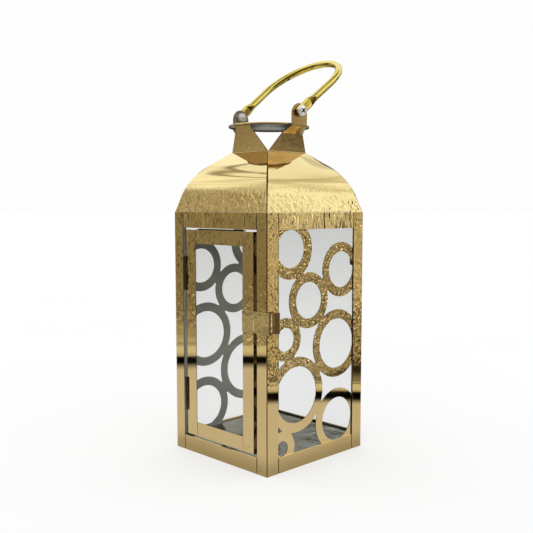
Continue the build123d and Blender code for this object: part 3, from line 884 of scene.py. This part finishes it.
def screw_head():
    """A low domed head, its seat at z = 0 and its axis along +Z."""
    profile = [(SHANK_RADIUS, 0), (HEAD_RADIUS - 0.2 * MM, 0), (HEAD_RADIUS, 0.25 * MM),
               (HEAD_RADIUS, HEAD_RIM)]
    for i in range(1, 11):
        angle = radians(9 * i)
        profile.append((HEAD_RADIUS * cos(angle) ** 0.62 if i < 10 else 0.02 * MM,
                        HEAD_RIM + (HEAD_HEIGHT - HEAD_RIM) * sin(angle)))
    return profile


def thread_profile():
    """The ridged outline of the threaded shank, from just under its head to its tip."""
    tip = THREAD_TOP - THREAD_LENGTH
    profile = [(SHANK_RADIUS, 0.0)]
    for i in range(int(THREAD_LENGTH / THREAD_PITCH)):
        z = THREAD_TOP - i * THREAD_PITCH
        profile += [(SHANK_RADIUS, z), (ROOT_RADIUS, z - THREAD_PITCH / 2)]
    return profile + [(ROOT_RADIUS - 0.2 * MM, tip), (0.02 * MM, tip)]


def fasteners():
    """Cross-recess screws with their nuts."""
    seat = SCREW_HIGH.x - HEAD_HEIGHT
    for side, name in ((1, "right"), (-1, "left")):
        place = Matrix.Translation((seat * side, 0, PIVOT_Z)) @ Matrix.Rotation(side * pi / 2, 4, "Y")
        points, faces = lathe(screw_head(), 64, place)
        shank_points, shank_faces = lathe(thread_profile(), 64, place)
        faces += [tuple(i + len(points) for i in reversed(f)) for f in shank_faces]
        mesh = mesh_from(f"screw_{name}", points + shank_points, faces)
        weld_close(mesh, 0.03 * MM)
        piece = new_piece(f"screw_{name}", mesh, "housing", "screw_steel", SCREW_STEEL)
        cut_recess(piece, place)
        paint_recess_shade(piece.data, place.inverted())
        soften(piece, 0.1 * MM, 40, 45)
        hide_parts("handle_screws")
        nut(name, side)


def cut_recess(piece, place):
    """A cross with tapered arms, cut into the head."""
    work = bmesh.new()
    for turn in (45, 135):
        spin = place @ Matrix.Rotation(radians(turn), 4, "Z")
        corners = [work.verts.new(spin @ Vector((sx * length, sy * width, z)))
                   for z, length, width in RECESS_LEVELS
                   for sx, sy in ((-1, -1), (1, -1), (1, 1), (-1, 1))]
        quads = [(3, 2, 1, 0), (4, 5, 6, 7)] + [(i, (i + 1) % 4, (i + 1) % 4 + 4, i + 4) for i in range(4)]
        for quad in quads:
            work.faces.new([corners[i] for i in quad])
    bmesh.ops.recalc_face_normals(work, faces=work.faces)
    subtract(piece, work, use_self=True)


def paint_recess_shade(mesh, to_head):
    """Paints the walls and floor of the cross near black: painted shade in the recess."""
    mesh.materials.append(RECESS_SHADE)
    dome = screw_head()
    for face in mesh.polygons:
        spot = to_head @ face.center
        away = hypot(spot.x, spot.y)
        surface = max((height for radius, height in dome if radius >= away), default=0.0)
        if 1.2 * MM < spot.z < surface - 0.12 * MM and away < 3.7 * MM:
            face.material_index = 1


def nut(name, side):
    """A hexagon nut with chamfered corners."""
    inner = EAR_X - SHEET / 2 - NUT_HEIGHT
    corner = NUT_FLATS / cos(pi / 6)
    levels = [(0.0, None), (0.0, 0.86), (0.0, 0.93), (NUT_CHAMFER, 1.0), (NUT_HEIGHT - NUT_CHAMFER, 1.0),
              (NUT_HEIGHT, 0.93), (NUT_HEIGHT, 0.86), (NUT_HEIGHT, None)]
    count = 12
    points = []
    for x, scale in levels:
        for i in range(count):
            angle = 2 * pi * i / count
            edge = corner if i % 2 == 0 else NUT_FLATS
            radius = HOLE_RADIUS if scale is None else min(edge, corner * scale)
            points.append(Vector(((inner + x) * side, radius * cos(angle), PIVOT_Z + radius * sin(angle))))
    faces = grid_faces(len(levels), count, closed=True)
    last = (len(levels) - 1) * count
    faces += [(last + i, last + (i + 1) % count, (i + 1) % count, i) for i in range(count)]
    mesh = mesh_from(f"nut_{name}", points, faces)
    weld_close(mesh, 0.001 * MM)
    piece = new_piece(f"nut_{name}", mesh, "housing", "screw_steel", NUT_STEEL)
    soften(piece, 0.1 * MM, 25, 25)
    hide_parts("handle_nuts")


# ================ weld marks
WELD_RADIUS = 0.6 * MM
WELD_PROFILE = ((1.25, -0.02), (1.0, 0.06), (0.72, 0.05), (0.4, -0.01), (0.02, -0.03))    # share, mm
DOOR_WELDS = ((45.2, 25.0), (41.6, 22.8), (-42.4, 27.5), (45.0, 226.5), (-43.0, 226.0))
LATCH_WELDS = ((42.5, 149.2), (42.5, 143.2))
FRONT_WELDS = ((61.0, 4.6), (57.6, 8.5), (-60.5, 6.5), (-58.0, 10.0), (60.0, 243.5), (-61.0, 244.5))
SIDE_WELDS = ((-63.5, 4.2), (61.0, 6.0), (-61.9, 131.4), (62.0, 244.0), (-61.0, 245.0))


def facing(position, direction):
    """A place whose local Z points along the direction."""
    turn = Vector((0, 0, 1)).rotation_difference(Vector(direction))
    return Matrix.Translation(position) @ turn.to_matrix().to_4x4()


def weld_marks(name, body, places):
    """Shallow pressed spots, each a raised ring round a small hollow."""
    points, faces = [], []
    for place in places:
        profile = [(WELD_RADIUS * share, lift * MM) for share, lift in WELD_PROFILE]
        faces += grid_faces(len(profile), 16, closed=True, start=len(points))
        points += lathe(profile, 16, place)[0]
    mesh = mesh_from(name, points, faces)
    smooth(mesh, 60)
    new_piece(name, mesh, body, "gold_sheet", MARK)


def all_weld_marks():
    for name, body, welds, y in (("weld_marks_door", "door", DOOR_WELDS, DOOR_LOW.y),
                                 ("weld_marks_latch", "door", LATCH_WELDS, DOOR_LOW.y - LATCH_SHEET),
                                 ("weld_marks_front", "housing", FRONT_WELDS, -HALF)):
        weld_marks(name, body, [facing((x * MM, y, z * MM), (0, -1, 0)) for x, z in welds])
    weld_marks("weld_marks_sides", "housing",
               [facing((side * HALF, side * y * MM, z * MM), (side, 0, 0))
                for y, z in SIDE_WELDS for side in (1, -1)])


# ================ studio
FRONT_LEFT = (-0.7071, -0.7071, 0.0)    # the mirrored room's bands lie across this way
FRONT_RIGHT = (0.7071, -0.7071, 0.0)    # the mirrored room is dark on this side
PALE_ROOM, PALER_ROOM, DUSK_ROOM = (0.50, 0.47, 0.37), (0.52, 0.49, 0.39), (0.34, 0.31, 0.23)
WINDOW_GAP = (0.045, 0.035, 0.02)
CARD_REACH = 2.0    # the distance in metres at the end of the card's ramps
SOFT_MOTTLE = ((0.40, (0.62, 0.60, 0.56)), (0.5, (0.95, 0.94, 0.92)), (0.6, (1.4, 1.36, 1.25)))
FAINT_MOTTLE = ((0.40, (0.72, 0.69, 0.62)), (0.52, (1.0, 1.0, 1.0)), (0.6, (1.12, 1.12, 1.12)))
CARD_MOTTLE = ((0.42, (0.10, 0.09, 0.08)), (0.5, (0.8, 0.78, 0.74)), (0.58, (2.4, 2.35, 2.2)))
SKY_MOTTLE = ((0.42, (0.12, 0.11, 0.10)), (0.5, (0.8, 0.78, 0.74)), (0.58, (2.2, 2.15, 2.0)))


def stage_plane(name, height, size, material):
    corners = [Vector((x * size / 2, y * size / 2, height)) for x, y in ((-1, -1), (1, -1), (1, 1), (-1, 1))]
    mesh = mesh_from(name, corners, [(0, 1, 2, 3)])
    mesh.materials.append(material)
    made = new_object(name, mesh)
    return made


def floor_material():
    made, tree, shader = new_material("studio_floor")
    soft = noise_texture(tree, object_place(tree), 3.0)
    link(ramp(tree, soft, (0.3, (0.42, 0.42, 0.42)), (0.7, (0.43, 0.43, 0.43))), shader, "Base Color")
    shader.inputs["Roughness"].default_value = 0.9
    shader.inputs["Specular IOR Level"].default_value = 0.0
    shader.inputs["Emission Color"].default_value = (1.0, 1.0, 0.995, 1)
    shader.inputs["Emission Strength"].default_value = 0.55
    return made


def between_windows(tree, toward):
    """1 in the dark gaps between the room's eight tall windows, which are centred every 45 degrees."""
    angle = maths(tree, "ARCTAN2", part_of(tree, toward, "Y"), part_of(tree, toward, "X"))
    swing = maths(tree, "COSINE", maths(tree, "MULTIPLY", angle, 8.0))
    return step(tree, swing, -0.30, -0.62)


def card_bands(tree, distance):
    """The table, the black gap past its edge, a pale sill with two lines, and the room beyond."""
    table, black, gap = (0.65, 0.63, 0.605), (0.002, 0.002, 0.002), (0.02, 0.02, 0.018)
    pale, line, far_room = (0.72, 0.70, 0.58), (0.16, 0.15, 0.12), (0.28, 0.253, 0.183)
    front = ramp(tree, maths(tree, "DIVIDE", distance, CARD_REACH),
                 (0.0, table), (0.243, table), (0.268, black), (0.291, black), (0.293, gap),
                 (0.300, PALE_ROOM), (0.318, pale), (0.346, pale), (0.350, line), (0.354, pale),
                 (0.361, line), (0.366, PALE_ROOM), (0.44, far_room), (1.0, far_room))
    back = ramp(tree, maths(tree, "DIVIDE", distance, -CARD_REACH),
                (0.0, table), (0.1365, table), (0.149, black), (0.166, black), (0.168, gap),
                (0.172, PALE_ROOM), (0.178, pale), (0.192, pale), (0.195, line), (0.198, pale),
                (0.203, line), (0.206, DUSK_ROOM), (0.30, DUSK_ROOM), (0.6, PALE_ROOM), (1.0, PALER_ROOM))
    return front, back


def card_material():
    """What the polished sheet mirrors low down. The bands run across the lantern's diagonal."""
    made, tree, shader = new_material("studio_card")
    tree.nodes.remove(shader)
    place = object_place(tree)
    distance = length_along(tree, place, FRONT_LEFT)
    in_front = step(tree, distance, -0.001, 0.001)
    front, back = card_bands(tree, distance)
    colour = blend_colours(tree, in_front, back, front)
    grain = noise_texture(tree, place, 4.0, detail=3.0, roughness=0.6)
    mottle = blend_colours(tree, in_front, ramp(tree, grain, *CARD_MOTTLE), ramp(tree, grain, *SOFT_MOTTLE))
    far = maths(tree, "MAXIMUM", step(tree, distance, 0.68, 0.80), step(tree, distance, -0.39, -0.48))
    colour = blend_colours(tree, far, colour, multiply_colours(tree, colour, mottle))
    away = add_node(tree, "VectorMath", {0: place}, operation="LENGTH").outputs["Value"]
    gaps = maths(tree, "MULTIPLY", between_windows(tree, place), step(tree, away, 0.62, 0.72))
    colour = blend_colours(tree, gaps, colour, WINDOW_GAP)
    from_corner = add_node(tree, "VectorMath", {0: place, 1: (HALF, -HALF, 0.0)}, operation="SUBTRACT")
    bearing = add_node(tree, "VectorMath", {0: from_corner.outputs["Vector"]}, operation="NORMALIZE")
    dark_bearing = length_along(tree, bearing.outputs["Vector"], FRONT_RIGHT)
    colour = blend_colours(tree, step(tree, dark_bearing, 0.35, 0.60), colour, (0.10, 0.075, 0.045))
    aside = maths(tree, "MAXIMUM", maths(tree, "ABSOLUTE", part_of(tree, place, "X")),
                  maths(tree, "ABSOLUTE", part_of(tree, place, "Y")))
    # Painted contact shadow: the mirrored table is darker round the lantern's foot.
    contact_shadow = ramp(tree, step(tree, aside, HALF, HALF + 0.05), (0.0, (0.62, 0.61, 0.58)), (1.0, (1, 1, 1)))
    glow = add_node(tree, "Emission", {"Color": multiply_colours(tree, colour, contact_shadow), "Strength": 1.0})
    tree.links.new(glow.outputs[0], tree.nodes["Material Output"].inputs["Surface"])
    return made


def studio():
    """The floor is seen and lights the lantern. The card just above it is only mirrored."""
    floor = stage_plane("floor", -0.02 * MM, 60, floor_material())
    floor.visible_glossy = False
    card = stage_plane("table_card", 0.05 * MM, 24, card_material())
    for kind in ("camera", "diffuse", "transmission", "shadow", "volume_scatter"):
        setattr(card, f"visible_{kind}", False)


def room_walls(tree, toward, z):
    """The room above the horizon, by height: behind the lantern, and ahead with a dark beam."""
    wall, cream, beam = (0.28, 0.255, 0.18), (1.08, 1.15, 1.12), (0.36, 0.33, 0.25)
    half_lit, well_lit = (0.52, 0.49, 0.40), (0.74, 0.73, 0.64)
    dusk, shaded = (0.62, 0.58, 0.46), (0.86, 0.84, 0.74)
    ahead = ramp(tree, z, (0.0, wall), (0.10, wall), (0.30, half_lit), (0.37, half_lit), (0.41, well_lit),
                 (0.50, cream), (0.636, cream), (0.645, beam), (0.648, beam), (0.657, cream), (1.0, cream))
    behind = ramp(tree, z, (0.0, PALE_ROOM), (0.09, dusk), (0.22, dusk), (0.33, cream), (0.60, cream),
                  (0.63, shaded), (0.645, cream), (1.0, cream))
    side = step(tree, length_along(tree, toward, FRONT_LEFT), -0.30, 0.35)
    colour = blend_colours(tree, side, behind, ahead)
    rough = noise_texture(tree, toward, 6.0, detail=2.0, roughness=0.55)
    faint, strong, soft = (ramp(tree, rough, *stops) for stops in (FAINT_MOTTLE, SKY_MOTTLE, SOFT_MOTTLE))
    mottle = blend_colours(tree, step(tree, z, 0.36, 0.22), faint, blend_colours(tree, side, strong, soft))
    mottle = blend_colours(tree, step(tree, z, 0.60, 0.70), mottle, (1, 1, 1))
    return multiply_colours(tree, colour, mottle)


def sky():
    """White all round. What polished metal mirrors above the horizon is a room with a bright ceiling."""
    world = bpy.data.worlds.new("studio")
    bpy.context.scene.world = world
    world.use_nodes = True
    tree = world.node_tree
    tree.nodes.clear()
    toward = add_node(tree, "TexCoord").outputs["Generated"]
    z = part_of(tree, toward, "Z")
    colour = room_walls(tree, toward, z)
    gaps = maths(tree, "MULTIPLY", between_windows(tree, toward), step(tree, z, 0.40, 0.28))
    colour = blend_colours(tree, gaps, colour, WINDOW_GAP)
    dark_bearing = step(tree, length_along(tree, toward, FRONT_RIGHT), 0.35, 0.60)
    dark_side = maths(tree, "MULTIPLY", dark_bearing, step(tree, z, 0.55, 0.35))
    colour = blend_colours(tree, dark_side, colour, (0.07, 0.055, 0.035))
    across = maths(tree, "MULTIPLY_ADD", length_along(tree, toward, (0.9, -0.2, 0.0)), 0.5, 0.5)
    lamp, wood, dark_wood = (1.5, 1.5, 1.3), (0.5, 0.46, 0.34), (0.10, 0.08, 0.04)
    overhead = ramp(tree, across, (0.10, (0.25, 0.22, 0.14)), (0.24, wood), (0.29, lamp), (0.33, lamp),
                    (0.37, (0.62, 0.58, 0.44)), (0.50, wood), (0.54, dark_wood), (0.60, dark_wood),
                    (0.64, (0.6, 0.56, 0.42)), (0.80, (0.8, 0.75, 0.6)), (0.9, (0.35, 0.31, 0.2)))
    colour = blend_colours(tree, step(tree, z, 0.74, 0.80), colour, overhead)
    path = add_node(tree, "LightPath")
    white = blend_colours(tree, path.outputs["Is Camera Ray"], (1.06, 1.06, 1.06), (0.985, 0.985, 0.98))
    seen = blend_colours(tree, path.outputs["Is Glossy Ray"], white, colour)
    glow = add_node(tree, "Background", {"Color": seen, "Strength": 1.0})
    end = add_node(tree, "OutputWorld")
    tree.links.new(glow.outputs[0], end.inputs["Surface"])


def camera():
    """The photograph's view, from about the eave's height at the corner beside the latch."""
    data = bpy.data.cameras.new("camera")
    data.lens = 51.78
    data.sensor_width = 36.0
    data.shift_x = -0.0524
    data.shift_y = 0.0224
    data.clip_start = 0.01
    made = new_object("camera", data)
    made.location = (0.58217, -0.55941, 0.25752)
    yaw, pitch, roll = radians(134.236), radians(-5.400), radians(-0.150)
    toward = Vector((cos(pitch) * cos(yaw), cos(pitch) * sin(yaw), sin(pitch)))
    made.rotation_mode = "QUATERNION"
    made.rotation_quaternion = toward.to_track_quat("-Z", "Y") @ Quaternion((0, 0, 1), -roll)
    bpy.context.scene.camera = made


def main():
    corner_posts()
    rails()
    floor_tray()
    ring_screens()
    glazing()
    roof()
    vent_cap()
    door()
    latch()
    hinges()
    handle()
    fasteners()
    all_weld_marks()
    studio()
    sky()
    camera()
    bpy.context.scene.view_settings.view_transform = "Standard"
    bpy.context.view_layer.update()


main()
